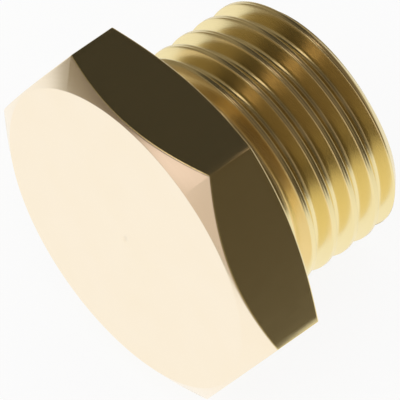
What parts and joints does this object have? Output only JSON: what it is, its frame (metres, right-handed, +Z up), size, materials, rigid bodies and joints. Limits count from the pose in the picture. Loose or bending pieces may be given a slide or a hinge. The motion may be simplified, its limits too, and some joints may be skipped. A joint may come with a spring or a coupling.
{
  "type": "brass hexagon head pipe plug",
  "caption": "Hexagon head plug that screws into a threaded pipe port and closes it, turned from brass bar.",
  "frame": {"origin": "on the ground, under the middle of the bounding box of the plug as it lies at rest", "axes": "+X along the plug towards its thread, level, with the plug's own axis 16.6 degrees below it; +Y across the corners of the hexagon; +Z up"},
  "size_m": [0.0155, 0.0196, 0.0174],
  "materials": {
    "brass": "bright turned and drawn brass, uncoated"
  },
  "bodies": {
    "root": {"plug": "brass"}
  },
  "joints": []
}
